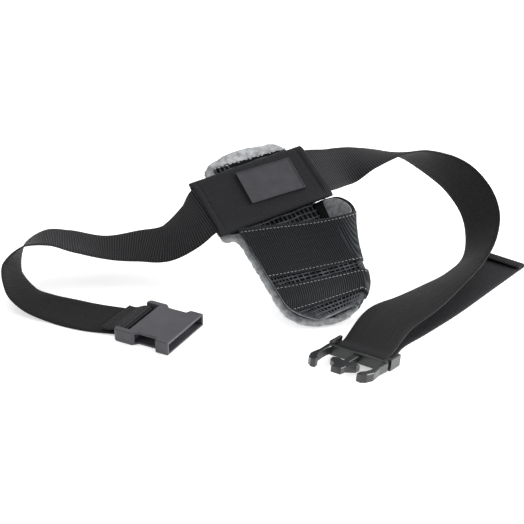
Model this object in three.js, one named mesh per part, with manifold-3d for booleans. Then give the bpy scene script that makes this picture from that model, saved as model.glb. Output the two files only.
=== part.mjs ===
// A fishing fighting belt laid out on a table: a padded tongue with a rod-butt pocket, a sleeve that
// holds a wide webbing strap, and the two open halves of a side-release buckle. Millimetres, +Z up.
import * as THREE from 'three';
import { mergeVertices } from 'three/addons/utils/BufferGeometryUtils.js';
import Module from 'manifold-3d';

const wasm = await Module();
wasm.setup();

// Webbing strap
const strapWidth = 50;
const strapThick = 1.8;
const strapStep = 9; // longest stretch between two cross sections
const foldBack = 20; // sewn end behind the socket half
const hemLength = 11; // rolled hem on the free tail
const hemRadius = 1.5;
const strapParting = 1; // along the strap, between two of its lengths

// Clearance between pieces that touch on the real belt
const seat = 0.3;

// Pad: felt backing and mesh facing
const feltThick = 8;
const feltBevel = 2.2;
const facingThick = 2.2;
const tongueHalf = 49.5; // half width of the tongue
const tongueStraight = 126; // from the sleeve's middle down to where the end starts to round
const tongueEnd = 167; // from the sleeve's middle down to the tip
const wingHalf = 64; // half width behind the sleeve
const wingRise = 32;
const wingDropLeft = 40;
const wingDropRight = 29;
const border = 6; // felt left bare round the facing
// The rounded top above the sleeve, from the sleeve's middle, of the felt and of the facing on it
const feltCrown = { left: 42, right: 56, riseLeft: 62, riseRight: 55, corner: 18 };
const facingCrown = { left: 29, right: 52, riseLeft: 46, riseRight: 41.5, corner: 3 };

// Ladder openings of the spacer mesh
const meshPitch = 5.6;
const meshBar = 1.7;

// Sleeve that the strap slides through
const sleeveLength = 131;
const sleeveHighLeft = 71;
const sleeveHighRight = 70;
const sleeveCrown = 4.1; // half thickness over the strap
const sleeveHem = 1.3; // half thickness at its long edges
const sleeveWall = 1.6;
const sleeveSlotClear = 1.2; // room each side of the strap's edges

// Blank rubber label
const labelLong = 61;
const labelHigh = 41;
const labelThick = 1.6;
const labelRim = 1.4;
const labelRimRise = 0.5;
const labelPlace = { x: 12.2, y: 3.6, turn: -3 }; // from the sleeve's middle

// Rod-butt pocket
const pocketDepth = 32; // how far its mouth stands off the pad
const pocketTop = 37; // below the sleeve's middle, at the left end of the rim
const pocketBottom = 160.5;
const pocketDip = 40; // how far the front of the rim drops
const pocketTaper = 0.86; // share of the depth lost by the bottom
const pocketSeam = 0.82; // share of the tongue's half width that the right wall keeps to near the bottom
const pocketSeamDip = 0.92; // the dip and the reach out where the right wall leaves the front
const pocketSeamOut = 0.88;
const pocketLapEnd = 0.6; // share of the way down where the right wall is back over the pad
const pocketTuck = 0.8; // share of the way down where the wall begins to draw in
const liningThick = 2.6;
const netThick = 1.5;
const bandThick = 1.5;
// Shares of the pocket's height at its left seam and at its right
const upperBand = { top: [0.015, 0.015], bottom: [0.51, 0.58] };
const lowerBand = { top: [0.59, 0.70], bottom: [0.86, 0.91] };

// Side-release buckle
const buckleWidth = 65;
const buckleThick = 13.5;
const barRadius = 2.6;
const barClear = 0.35; // between a bar and the strap round it
const socketLength = 61;
const socketWall = 2.3;
const socketWaist = 5; // depth of the thumb notch in each side
const socketSlot = 7.5; // from the strap bar to the socket's body
const plugSlot = 2.8; // from the adjusting bar to the crossbar
const crossbar = 4.5;
const prongLength = 39;
const prongHigh = 8.5;
const prongThick = 4.2;
const guardLength = 19;
const guardThick = 3;
const tipPitch = 10; // degrees that the plug's tips stand up

// How the belt lies on the table
const padTurn = 14;
const padTilt = 29.5;
const padRoll = 16;
const padPlace = { x: -2.5, y: 67 };
const socketPlace = { x: -122, y: -60, heading: -28 };
const plugPlace = { x: 91, y: -129, heading: 237 };

// Reach of the two loops of strap, for the shares in the tables below
const leftReach = 250;
const leftDepth = 100;
const rightReach = 237;
const rightDepth = 149;
const tailReach = 258;
const tailDepth = 80;

const rad = THREE.MathUtils.degToRad;

// Lie of the strap: across and deep are shares of a loop's reach and depth, rise a share of the strap's
// width, heading and pitch the direction of the strap's width in degrees.
const leftLie = [
  { across: -0.292, deep: 0.31, rise: 1.25, heading: 113, pitch: 22 },
  { across: -0.40, deep: 0.38, rise: 0.77, heading: 107, pitch: 14 },
  { across: -0.505, deep: 0.425, rise: 0.705, heading: 102, pitch: 12 },
  { across: -0.64, deep: 0.41, rise: 0.72, heading: 101, pitch: 3 },
  { across: -0.775, deep: 0.33, rise: 0.94, heading: 102, pitch: 1 },
  { across: -0.87, deep: 0.29, rise: 1.06, heading: 103, pitch: -7 },
  { across: -0.96, deep: 0.21, rise: 0.94, heading: 97, pitch: -22 },
  { across: -1.0, deep: 0.09, rise: 0.57, heading: 77, pitch: -30 },
  { across: -0.97, deep: -0.055, rise: 0.23, heading: 64, pitch: -20 },
  { across: -0.895, deep: -0.19, rise: 0.09, heading: 60, pitch: -8 },
  { across: -0.78, deep: -0.325, rise: 0.035, heading: 60, pitch: 0 },
  { across: -0.67, deep: -0.45, rise: 0.04, heading: 60, pitch: 2 },
];
const rightLie = [
  { across: 0.355, deep: 0.74, rise: 1.97, heading: 117, pitch: 29 },
  { across: 0.465, deep: 0.815, rise: 2.06, heading: 110, pitch: 5 },
  { across: 0.58, deep: 0.90, rise: 2.05, heading: 108, pitch: -15 },
  { across: 0.70, deep: 0.965, rise: 1.925, heading: 113, pitch: -32 },
  { across: 0.81, deep: 1.0, rise: 1.66, heading: 125, pitch: -46 },
  { across: 0.91, deep: 0.955, rise: 1.36, heading: 137, pitch: -49 },
  { across: 0.98, deep: 0.84, rise: 1.0, heading: 143, pitch: -48 },
  { across: 1.0, deep: 0.70, rise: 0.70, heading: 145, pitch: -46 },
  { across: 0.97, deep: 0.47, rise: 0.44, heading: 145, pitch: -45 },
  { across: 0.88, deep: 0.22, rise: 0.31, heading: 147, pitch: -32 },
  { across: 0.76, deep: -0.025, rise: 0.28, heading: 146, pitch: -18 },
  { across: 0.635, deep: -0.29, rise: 0.32, heading: 146, pitch: -4 },
  { across: 0.51, deep: -0.515, rise: 0.34, heading: 146, pitch: 6 },
];
const tailLie = [
  { across: 0.43, deep: -1.10, rise: 0.03, heading: 144, pitch: 0 },
  { across: 0.533, deep: -0.69, rise: 0.026, heading: 140, pitch: 0 },
  { across: 0.662, deep: -0.235, rise: 0.03, heading: 138, pitch: 0 },
  { across: 0.843, deep: 0.385, rise: 0.022, heading: 139, pitch: 0 },
];

// Pocket section from its left seam to its right: across is a share of the tongue's half width,
// out of the pocket's depth, dip of the rim's dip.
const pocketArc = [
  { across: -0.87, out: 0.0, dip: 0.0 },
  { across: -0.66, out: 0.11, dip: 0.12 },
  { across: -0.40, out: 0.25, dip: 0.27 },
  { across: 0.0, out: 0.45, dip: 0.50 },
  { across: 0.40, out: 0.65, dip: 0.72 },
  { across: 0.72, out: 0.83, dip: 0.88 },
  { across: 1.0, out: 0.96, dip: 0.98 },
  { across: 1.17, out: 0.94, dip: 0.94 },
  { across: 1.235, out: 0.78, dip: 0.64 },
  { across: 1.20, out: 0.46, dip: 0.28 },
  { across: 1.06, out: 0.03, dip: 0.0 },
];

// Colours, roughness and metalness of the materials
const look = (color, roughness, metalness = 0) =>
  new THREE.MeshStandardMaterial({ color, roughness, metalness });
const webbingLook = look(0x2b2c2f, 0.75);
const bandLook = look(0x2a2c2f, 0.72);
const sleeveLook = look(0x2c2d31, 0.7);
const netLook = look(0x222527, 0.85);
const feltLook = look(0xc4c8ca, 0.95);
const labelLook = look(0x515156, 0.55);
const plasticLook = look(0x4a4b50, 0.45);

// Closed faceted meshes

function meshOf(name, geometry, material) {
  const mesh = new THREE.Mesh(geometry, material);
  mesh.name = name;
  return mesh;
}

function facesToGeometry(points, triangles) {
  const geometry = new THREE.BufferGeometry();
  geometry.setAttribute('position', new THREE.Float32BufferAttribute(points.flatMap((p) => [p.x, p.y, p.z]), 3));
  geometry.setIndex(triangles.flat());
  return geometry;
}

function solidOf(geometry) {
  const bare = geometry.index ? geometry.clone() : geometry.clone();
  bare.deleteAttribute('normal');
  bare.deleteAttribute('uv');
  const merged = mergeVertices(bare, 1e-4);
  return new wasm.Manifold(new wasm.Mesh({
    numProp: 3,
    vertProperties: new Float32Array(merged.attributes.position.array),
    triVerts: new Uint32Array(merged.index.array),
  }));
}

function geometryOf(solid) {
  const mesh = solid.getMesh();
  const geometry = new THREE.BufferGeometry();
  geometry.setAttribute('position', new THREE.BufferAttribute(new Float32Array(mesh.vertProperties), 3));
  geometry.setIndex(new THREE.BufferAttribute(new Uint32Array(mesh.triVerts), 1));
  return geometry;
}

// A box by its lowest and highest corners
function block(x0, x1, y0, y1, z0, z1) {
  const box = new THREE.BoxGeometry(x1 - x0, y1 - y0, z1 - z0);
  box.translate((x0 + x1) / 2, (y0 + y1) / 2, (z0 + z1) / 2);
  return solidOf(box);
}

// A flat outline, given as [x, y] corners or a Shape, thickened from z0 to z1 with an eased edge
function plate(outline, z0, z1, ease = 0, curveSegments = 8) {
  const shape = outline instanceof THREE.Shape
    ? outline
    : new THREE.Shape(outline.map(([x, y]) => new THREE.Vector2(x, y)));
  const geometry = new THREE.ExtrudeGeometry(shape, {
    depth: z1 - z0 - 2 * ease,
    bevelEnabled: ease > 0,
    bevelThickness: ease,
    bevelSize: ease,
    bevelOffset: -ease,
    bevelSegments: ease > 1.5 ? 2 : 1,
    curveSegments,
  });
  geometry.translate(0, 0, z0 + ease);
  return geometry;
}

// A rod along X
function rodAlongX(half, radius, sides = 12) {
  const rod = new THREE.CylinderGeometry(radius, radius, 2 * half, sides);
  rod.rotateZ(Math.PI / 2);
  return rod;
}

// A wall of even thickness over a grid of points. isOpen(i, j) leaves a cell out, so that the wall is
// pierced there, and each rim is closed by side faces.
function wallOverGrid(columns, rows, pointAt, normalAt, inner, outer, isOpen = () => false) {
  const points = [];
  for (const offset of [inner, outer]) {
    for (let j = 0; j <= rows; j += 1) {
      for (let i = 0; i <= columns; i += 1) {
        points.push(pointAt(i, j).clone().addScaledVector(normalAt(i, j), offset));
      }
    }
  }
  const layer = (columns + 1) * (rows + 1);
  const at = (i, j, side) => side * layer + j * (columns + 1) + i;
  const filled = (i, j) => i >= 0 && j >= 0 && i < columns && j < rows && !isOpen(i, j);
  const triangles = [];
  const quad = (a, b, c, d) => triangles.push([a, b, c], [a, c, d]);
  for (let j = 0; j < rows; j += 1) {
    for (let i = 0; i < columns; i += 1) {
      if (!filled(i, j)) continue;
      quad(at(i, j, 1), at(i + 1, j, 1), at(i + 1, j + 1, 1), at(i, j + 1, 1));
      quad(at(i, j, 0), at(i, j + 1, 0), at(i + 1, j + 1, 0), at(i + 1, j, 0));
      if (!filled(i, j - 1)) quad(at(i, j, 0), at(i + 1, j, 0), at(i + 1, j, 1), at(i, j, 1));
      if (!filled(i, j + 1)) quad(at(i + 1, j + 1, 0), at(i, j + 1, 0), at(i, j + 1, 1), at(i + 1, j + 1, 1));
      if (!filled(i - 1, j)) quad(at(i, j + 1, 0), at(i, j, 0), at(i, j, 1), at(i, j + 1, 1));
      if (!filled(i + 1, j)) quad(at(i + 1, j, 0), at(i + 1, j + 1, 0), at(i + 1, j + 1, 1), at(i + 1, j, 1));
    }
  }
  return facesToGeometry(points, triangles);
}

// Pad, in its own frame: x along the sleeve, y up the pad, z out of its front

const tongueRound = tongueEnd - tongueStraight;

// Half width of the tongue at a depth below the sleeve's middle
function tongueHalfAt(depth, inset = 0) {
  const below = Math.max(0, depth - tongueStraight) / (tongueRound - inset);
  return (tongueHalf - inset) * Math.sqrt(Math.max(0, 1 - below * below));
}

function padOutline(inset, crown) {
  const shape = new THREE.Shape();
  const wing = wingHalf - inset;
  const tongue = tongueHalf - inset;
  const corner = 10;
  shape.moveTo(-wing + corner, wingRise - inset);
  shape.quadraticCurveTo(-wing, wingRise - inset, -wing, wingRise - inset - corner);
  shape.lineTo(-wing, -wingDropLeft + inset + corner);
  shape.quadraticCurveTo(-wing, -wingDropLeft + inset, -wing + corner, -wingDropLeft + inset);
  shape.lineTo(-tongue, -wingDropLeft + inset);
  shape.lineTo(-tongue, -tongueStraight);
  shape.absellipse(0, -tongueStraight, tongue, tongueRound - inset, Math.PI, 2 * Math.PI, false, 0);
  shape.lineTo(tongue, -wingDropRight + inset);
  shape.lineTo(wing - corner, -wingDropRight + inset);
  shape.quadraticCurveTo(wing, -wingDropRight + inset, wing, -wingDropRight + inset + corner);
  shape.lineTo(wing, wingRise - inset - corner);
  shape.quadraticCurveTo(wing, wingRise - inset, wing - corner, wingRise - inset);
  shape.lineTo(crown.right, wingRise - inset);
  shape.lineTo(crown.right, crown.riseRight - crown.corner);
  shape.quadraticCurveTo(crown.right, crown.riseRight, crown.right - crown.corner, crown.riseRight);
  shape.lineTo(-crown.left + 1.3 * crown.corner, crown.riseLeft);
  shape.quadraticCurveTo(-crown.left, crown.riseLeft, -crown.left, crown.riseLeft - crown.corner);
  shape.lineTo(-crown.left, wingRise - inset);
  shape.closePath();
  return shape;
}

function feltBacking() {
  return meshOf('felt_backing', plate(padOutline(0, feltCrown), 0, feltThick, feltBevel, 12), feltLook);
}

// The facing's ladder openings are cut through where they show, in the wedge under the sleeve
function meshFacing() {
  const bottom = feltThick + seat;
  const gap = meshPitch - meshBar;
  const firstRow = -(sleeveHighLeft / 2 + gap);
  const rowCount = 4;
  const columnCount = Math.floor((2 * (tongueHalf - border) - meshPitch) / meshPitch);
  const openings = [];
  for (let row = 0; row < rowCount; row += 1) {
    for (let column = 0; column < columnCount; column += 1) {
      const x = (column - (columnCount - 1) / 2) * meshPitch - gap / 2;
      const y = firstRow - row * meshPitch - gap;
      openings.push(block(x, x + gap, y, y + gap, 0, 2 * facingTop));
    }
  }
  const sheet = solidOf(plate(padOutline(border, facingCrown), bottom, bottom + facingThick));
  return meshOf('mesh_facing', geometryOf(sheet.subtract(wasm.Manifold.union(openings))), netLook);
}

const facingTop = feltThick + seat + facingThick;
const sleeveMiddle = facingTop + seat + sleeveCrown;

// A flat sewn tube: thick over the strap, thin along its two long hems
function beltSleeve() {
  const slotHalf = strapWidth / 2 + sleeveSlotClear;
  const slotHigh = sleeveCrown - sleeveWall;
  const outerLoop = (halfHigh) => [
    [-halfHigh, -sleeveHem], [-slotHalf - 3, -sleeveCrown + 0.6], [-slotHalf + 6, -sleeveCrown],
    [slotHalf - 6, -sleeveCrown], [slotHalf + 3, -sleeveCrown + 0.6], [halfHigh, -sleeveHem],
    [halfHigh, sleeveHem], [slotHalf + 3, sleeveCrown - 0.6], [slotHalf - 6, sleeveCrown],
    [-slotHalf + 6, sleeveCrown], [-slotHalf - 3, sleeveCrown - 0.6], [-halfHigh, sleeveHem],
  ];
  const innerLoop = [
    [-slotHalf, -0.5], [-slotHalf + 1, -slotHigh], [-slotHalf + 7, -slotHigh],
    [slotHalf - 7, -slotHigh], [slotHalf - 1, -slotHigh], [slotHalf, -0.5],
    [slotHalf, 0.5], [slotHalf - 1, slotHigh], [slotHalf - 7, slotHigh],
    [-slotHalf + 7, slotHigh], [-slotHalf + 1, slotHigh], [-slotHalf, 0.5],
  ];
  const points = [];
  const triangles = [];
  const count = innerLoop.length;
  const steps = 6;
  for (let step = 0; step <= steps; step += 1) {
    const share = step / steps;
    const x = (share - 0.5) * sleeveLength;
    const halfHigh = THREE.MathUtils.lerp(sleeveHighLeft, sleeveHighRight, share) / 2;
    for (const [y, z] of outerLoop(halfHigh)) points.push(new THREE.Vector3(x, y, z));
    for (const [y, z] of innerLoop) points.push(new THREE.Vector3(x, y, z));
  }
  const at = (step, ring, k) => step * 2 * count + ring * count + (k % count);
  const quad = (a, b, c, d) => triangles.push([a, b, c], [a, c, d]);
  for (let k = 0; k < count; k += 1) {
    for (let step = 0; step < steps; step += 1) {
      quad(at(step, 0, k), at(step, 0, k + 1), at(step + 1, 0, k + 1), at(step + 1, 0, k));
      quad(at(step, 1, k), at(step + 1, 1, k), at(step + 1, 1, k + 1), at(step, 1, k + 1));
    }
    quad(at(0, 0, k), at(0, 1, k), at(0, 1, k + 1), at(0, 0, k + 1));
    quad(at(steps, 0, k), at(steps, 0, k + 1), at(steps, 1, k + 1), at(steps, 1, k));
  }
  const mesh = meshOf('belt_sleeve', facesToGeometry(points, triangles), sleeveLook);
  mesh.position.z = sleeveMiddle;
  return mesh;
}

// A thin blank plate with a raised rim
function labelPatch() {
  const halfLong = labelLong / 2;
  const halfHigh = labelHigh / 2;
  const slab = block(-halfLong, halfLong, -halfHigh, halfHigh, 0, labelThick + labelRimRise);
  const hollow = block(
    -halfLong + labelRim, halfLong - labelRim, -halfHigh + labelRim, halfHigh - labelRim,
    labelThick, labelThick + 2 * labelRimRise,
  );
  const mesh = meshOf('label_patch', geometryOf(slab.subtract(hollow)), labelLook);
  mesh.position.set(labelPlace.x, labelPlace.y, sleeveMiddle + sleeveCrown + seat);
  mesh.rotation.z = rad(labelPlace.turn);
  return mesh;
}

// Pocket wall: its front surface at a share across and a share down
const arcPoints = (key) => pocketArc.map((row) => row[key]);

function alongTable(values, share) {
  const scaled = share * (values.length - 1);
  const i = Math.min(values.length - 2, Math.floor(scaled));
  const t = scaled - i;
  const before = values[Math.max(0, i - 1)];
  const after = values[Math.min(values.length - 1, i + 2)];
  const [a, b] = [values[i], values[i + 1]];
  const slopeA = (b - before) / (i === 0 ? 1 : 2);
  const slopeB = (after - a) / (i + 2 > values.length - 1 ? 1 : 2);
  const t2 = t * t;
  const t3 = t2 * t;
  return (2 * t3 - 3 * t2 + 1) * a + (t3 - 2 * t2 + t) * slopeA + (3 * t2 - 2 * t3) * b + (t3 - t2) * slopeB;
}

const pocketFloor = facingTop + seat;

function pocketPoint(u, v) {
  const across = alongTable(arcPoints('across'), u);
  const lap = 0.12 + 0.88 * Math.max(0, 1 - v / pocketLapEnd) ** 1.6;
  const dip = alongTable(arcPoints('dip'), u);
  const rim = (across > pocketSeam ? THREE.MathUtils.lerp(pocketSeamDip, dip, lap) : dip) * pocketDip;
  const depth = THREE.MathUtils.lerp(pocketTop + rim, pocketBottom, v);
  const half = tongueHalfAt(depth) - border * Math.max(0, (v - pocketTuck) / (1 - pocketTuck));
  const stand = alongTable(arcPoints('out'), u);
  const front = stand > pocketSeamOut ? THREE.MathUtils.lerp(pocketSeamOut, stand, lap) : stand;
  const out = front * pocketDepth * (1 - pocketTaper * v ** 0.8);
  return new THREE.Vector3(
    (Math.min(pocketSeam, across) + Math.max(0, across - pocketSeam) * lap) * half,
    -depth,
    pocketFloor + (out > 0 ? out : out * Math.max(0, 1 - v / pocketLapEnd)),
  );
}

function pocketNormal(u, v) {
  const step = 0.004;
  const u0 = Math.max(0, u - step);
  const u1 = Math.min(1, u + step);
  const v0 = Math.max(0, v - step);
  const v1 = Math.min(1, v + step);
  const alongU = pocketPoint(u1, v).sub(pocketPoint(u0, v));
  if (u > 0.9) alongU.z -= 0.1; // the right edge faces sideways where it comes down flat on the pad
  const alongV = pocketPoint(u, v1).sub(pocketPoint(u, v0));
  return alongV.cross(alongU).normalize();
}

// One layer of the pocket between a top and a bottom, each a pair of shares at the left and right seams
function pocketLayer(name, material, columns, rows, reach, inner, outer, isOpen) {
  const at = (i, j) => {
    const u = 1 - i / columns;
    const [top, bottom] = [reach.top, reach.bottom].map(([left, right]) => THREE.MathUtils.lerp(left, right, u));
    return [u, THREE.MathUtils.lerp(top, bottom, j / rows)];
  };
  const geometry = wallOverGrid(
    columns, rows, (i, j) => pocketPoint(...at(i, j)), (i, j) => pocketNormal(...at(i, j)), inner, outer, isOpen,
  );
  return meshOf(name, geometry, material);
}

function pocketPieces() {
  const netInner = liningThick + 0.5;
  const bandInner = netInner + netThick + 0.5;
  const netColumns = 32;
  const netRows = 22;
  const isOpen = (i, j) => {
    const u = 1 - (i + 0.5) / netColumns;
    const down = (j + 0.5) / netRows;
    const edge = (pair) => THREE.MathUtils.lerp(...pair, u);
    const shows = (down > edge(upperBand.bottom) && down < edge(lowerBand.top)) || down > edge(lowerBand.bottom);
    return shows && i % 2 === 1 && j % 2 === 1 && i > 4 && i < netColumns - 2;
  };
  return [
    pocketLayer('pocket_lining', feltLook, netColumns, 11, { top: [0, 0], bottom: [1, 1] }, 0, liningThick),
    pocketLayer(
      'pocket_net', netLook, netColumns, netRows, { top: [0.005, 0.005], bottom: [0.99, 0.99] },
      netInner, netInner + netThick, isOpen,
    ),
    pocketLayer('pocket_band_upper', bandLook, netColumns, 7, upperBand, bandInner, bandInner + bandThick),
    pocketLayer('pocket_band_lower', bandLook, netColumns, 4, lowerBand, bandInner, bandInner + bandThick),
  ];
}

// Socket half of the buckle: x across, y towards its mouth, origin in its strap bar
function buckleSocket() {
  const half = buckleWidth / 2;
  const waist = half - socketWaist;
  const top = buckleThick / 2;
  const rear = -barRadius - 2.2;
  const front = rear + socketLength;
  const slotEnd = barRadius + socketSlot;
  const notchFrom = rear + 0.42 * socketLength;
  const notchTo = rear + 0.74 * socketLength;
  const outline = [
    [-half + 2, rear], [half - 2, rear], [half, rear + 3], [half, notchFrom - 5], [waist, notchFrom],
    [waist, notchTo], [half, notchTo + 2], [half, front], [-half, front], [-half, notchTo + 2],
    [-waist, notchTo], [-waist, notchFrom], [-half, notchFrom - 5], [-half, rear + 3],
  ];
  const slotHalf = strapWidth / 2 + 1.5;
  const cavityHalf = half - socketWall;
  const cavityTop = top - socketWall;
  const body = solidOf(plate(outline, -top, top, 0.8))
    .subtract(block(-slotHalf, slotHalf, rear - 1, slotEnd, -2 * top, 2 * top))
    .add(solidOf(rodAlongX(slotHalf + 1, barRadius)))
    .subtract(block(-cavityHalf, cavityHalf, slotEnd + 4, front + 1, -cavityTop, cavityTop))
    .subtract(block(-half - 1, half + 1, notchFrom - 1, notchTo + 1, -cavityTop, cavityTop));
  const rib = block(-1.3, 1.3, slotEnd + 3, front - 9, -cavityTop - 0.2, -cavityTop + 2.4);
  return meshOf('buckle_socket', geometryOf(body.add(rib)), plasticLook);
}

// Plug half: x across, y towards its prong tips, origin in its adjusting bar
function bucklePlug() {
  const half = buckleWidth / 2;
  const top = buckleThick / 2 - 1;
  const railInner = strapWidth / 2 + 1.5;
  const beamFrom = barRadius + plugSlot;
  const beamTo = beamFrom + crossbar;
  const tip = beamTo + prongLength;
  const prongTop = prongHigh / 2;
  const guardTop = beamFrom - 2.5;
  const beam = solidOf(plate(
    [[-railInner - 3, beamFrom], [railInner + 3, beamFrom], [railInner + 3, beamTo], [-railInner - 3, beamTo]],
    -top + 0.6, top - 0.6, 0.6,
  ));
  let plug = beam.add(solidOf(rodAlongX(railInner + 2, barRadius)));
  for (const side of [-1, 1]) {
    const rail = block(
      Math.min(side * railInner, side * (railInner + 4)), Math.max(side * railInner, side * (railInner + 4)),
      -barRadius - 1, beamTo - 1, -top + 1, top - 1,
    );
    const guardOutline = [
      [railInner + 2.5, guardTop], [half, guardTop], [half, guardTop - guardLength],
      [half - guardThick, guardTop - guardLength - 1], [half - guardThick, guardTop - 4], [railInner + 2.5, guardTop - 4],
    ].map(([x, y]) => [side * x, y]);
    const prongOutline = [
      [half - 8, beamTo - 3], [half - 2.5, beamTo - 3.5], [half - 0.5, beamTo - 1.5], [half - 1.2, beamTo + 0.34 * prongLength],
      [half - 0.2, beamTo + 0.56 * prongLength], [half + 0.2, beamTo + 0.70 * prongLength],
      [half - 2.5, beamTo + 0.90 * prongLength], [half - 7, tip], [half - 11.5, tip - 1],
      [half - 11, tip - 6], [half - 8, beamTo + 0.74 * prongLength], [half - 6.4, beamTo + 0.62 * prongLength],
      [half - 1.2 - prongThick, beamTo + 0.34 * prongLength], [half - 1.4 - prongThick, beamTo + 4],
    ].map(([x, y]) => [side * x, y]);
    for (const outline of [guardOutline, prongOutline]) {
      if (side < 0) outline.reverse();
    }
    plug = plug.add(rail)
      .add(solidOf(plate(guardOutline, -top, top, 0.5)))
      .add(solidOf(plate(prongOutline, -prongTop, prongTop, 0.7)));
  }
  const guide = [
    [-3.4, beamTo - 1], [3.4, beamTo - 1], [3, beamTo + 0.48 * prongLength], [9, beamTo + 0.42 * prongLength],
    [14, beamTo + 0.48 * prongLength], [13.5, beamTo + 0.62 * prongLength], [6, beamTo + 0.78 * prongLength],
    [5, beamTo + 0.97 * prongLength], [-5, beamTo + 0.97 * prongLength], [-6, beamTo + 0.78 * prongLength],
    [-13.5, beamTo + 0.62 * prongLength], [-14, beamTo + 0.48 * prongLength], [-9, beamTo + 0.42 * prongLength],
    [-3, beamTo + 0.48 * prongLength],
  ];
  plug = plug.add(solidOf(plate(guide, -prongTop + 1, prongTop - 1, 0.6)));
  return meshOf('buckle_plug', geometryOf(plug), plasticLook);
}

// Strap

const barWrap = barRadius + barClear + strapThick / 2;

function direction(heading, pitch) {
  const [h, p] = [rad(heading), rad(pitch)];
  return new THREE.Vector3(Math.cos(p) * Math.cos(h), Math.cos(p) * Math.sin(h), Math.sin(p));
}

function section(place, width) {
  return { place, width: width.clone().normalize() };
}

function lie(table, reach, depth) {
  return table.map((row) => section(
    new THREE.Vector3(row.across * reach, row.deep * depth, row.rise * strapWidth),
    direction(row.heading, row.pitch),
  ));
}

// Half a turn of the strap about an axis along its width, in a group's frame: centre, and the angles in the
// frame's YZ plane that it starts and ends at
function turnSections(group, radius, from, to, steps, width) {
  const found = [];
  for (let step = 0; step <= steps; step += 1) {
    const angle = rad(from + (to - from) * (step / steps));
    const local = new THREE.Vector3(0, radius * Math.cos(angle), radius * Math.sin(angle));
    found.push(section(group.localToWorld(local), width));
  }
  return found;
}

// A flat ribbon of even width and thickness through the sections, from the first to the last that are asked
// for. Where it starts at a parting it leaves a gap.
function ribbon(sections, first, last) {
  const centres = new THREE.CatmullRomCurve3(sections.map((s) => s.place), false, 'centripetal');
  const widths = new THREE.CatmullRomCurve3(sections.map((s) => s.width), false, 'catmullrom', 0.5);
  const spans = sections.length - 1;
  const spacing = (i) => sections[i].place.distanceTo(sections[i + 1].place);
  const stations = [(first + (first > 0 ? strapParting / spacing(first) : 0)) / spans];
  for (let i = first; i < last; i += 1) {
    const steps = Math.max(1, Math.ceil(spacing(i) / strapStep));
    for (let k = 1; k <= steps; k += 1) stations.push((i + k / steps) / spans);
  }
  const points = [];
  for (const t of stations) {
    const centre = centres.getPoint(t);
    const along = centres.getTangent(t);
    const width = widths.getPoint(t);
    width.addScaledVector(along, -width.dot(along)).normalize();
    const face = along.clone().cross(width).normalize();
    for (const [w, n] of [[-1, -1], [1, -1], [1, 1], [-1, 1]]) {
      points.push(centre.clone()
        .addScaledVector(width, (w * strapWidth) / 2)
        .addScaledVector(face, (n * strapThick) / 2));
    }
  }
  const triangles = [[0, 3, 2], [0, 2, 1]];
  for (let s = 0; s < stations.length - 1; s += 1) {
    for (let k = 0; k < 4; k += 1) {
      const [a, b] = [s * 4 + k, s * 4 + ((k + 1) % 4)];
      // Both broad faces take the same diagonal, so that the thickness holds where the ribbon twists
      if (k === 2) triangles.push([a, b, a + 4], [b, b + 4, a + 4]);
      else triangles.push([a, b, b + 4], [a, b + 4, a + 4]);
    }
  }
  const end = (stations.length - 1) * 4;
  triangles.push([end, end + 1, end + 2], [end, end + 2, end + 3]);
  return facesToGeometry(points, triangles);
}

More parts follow.
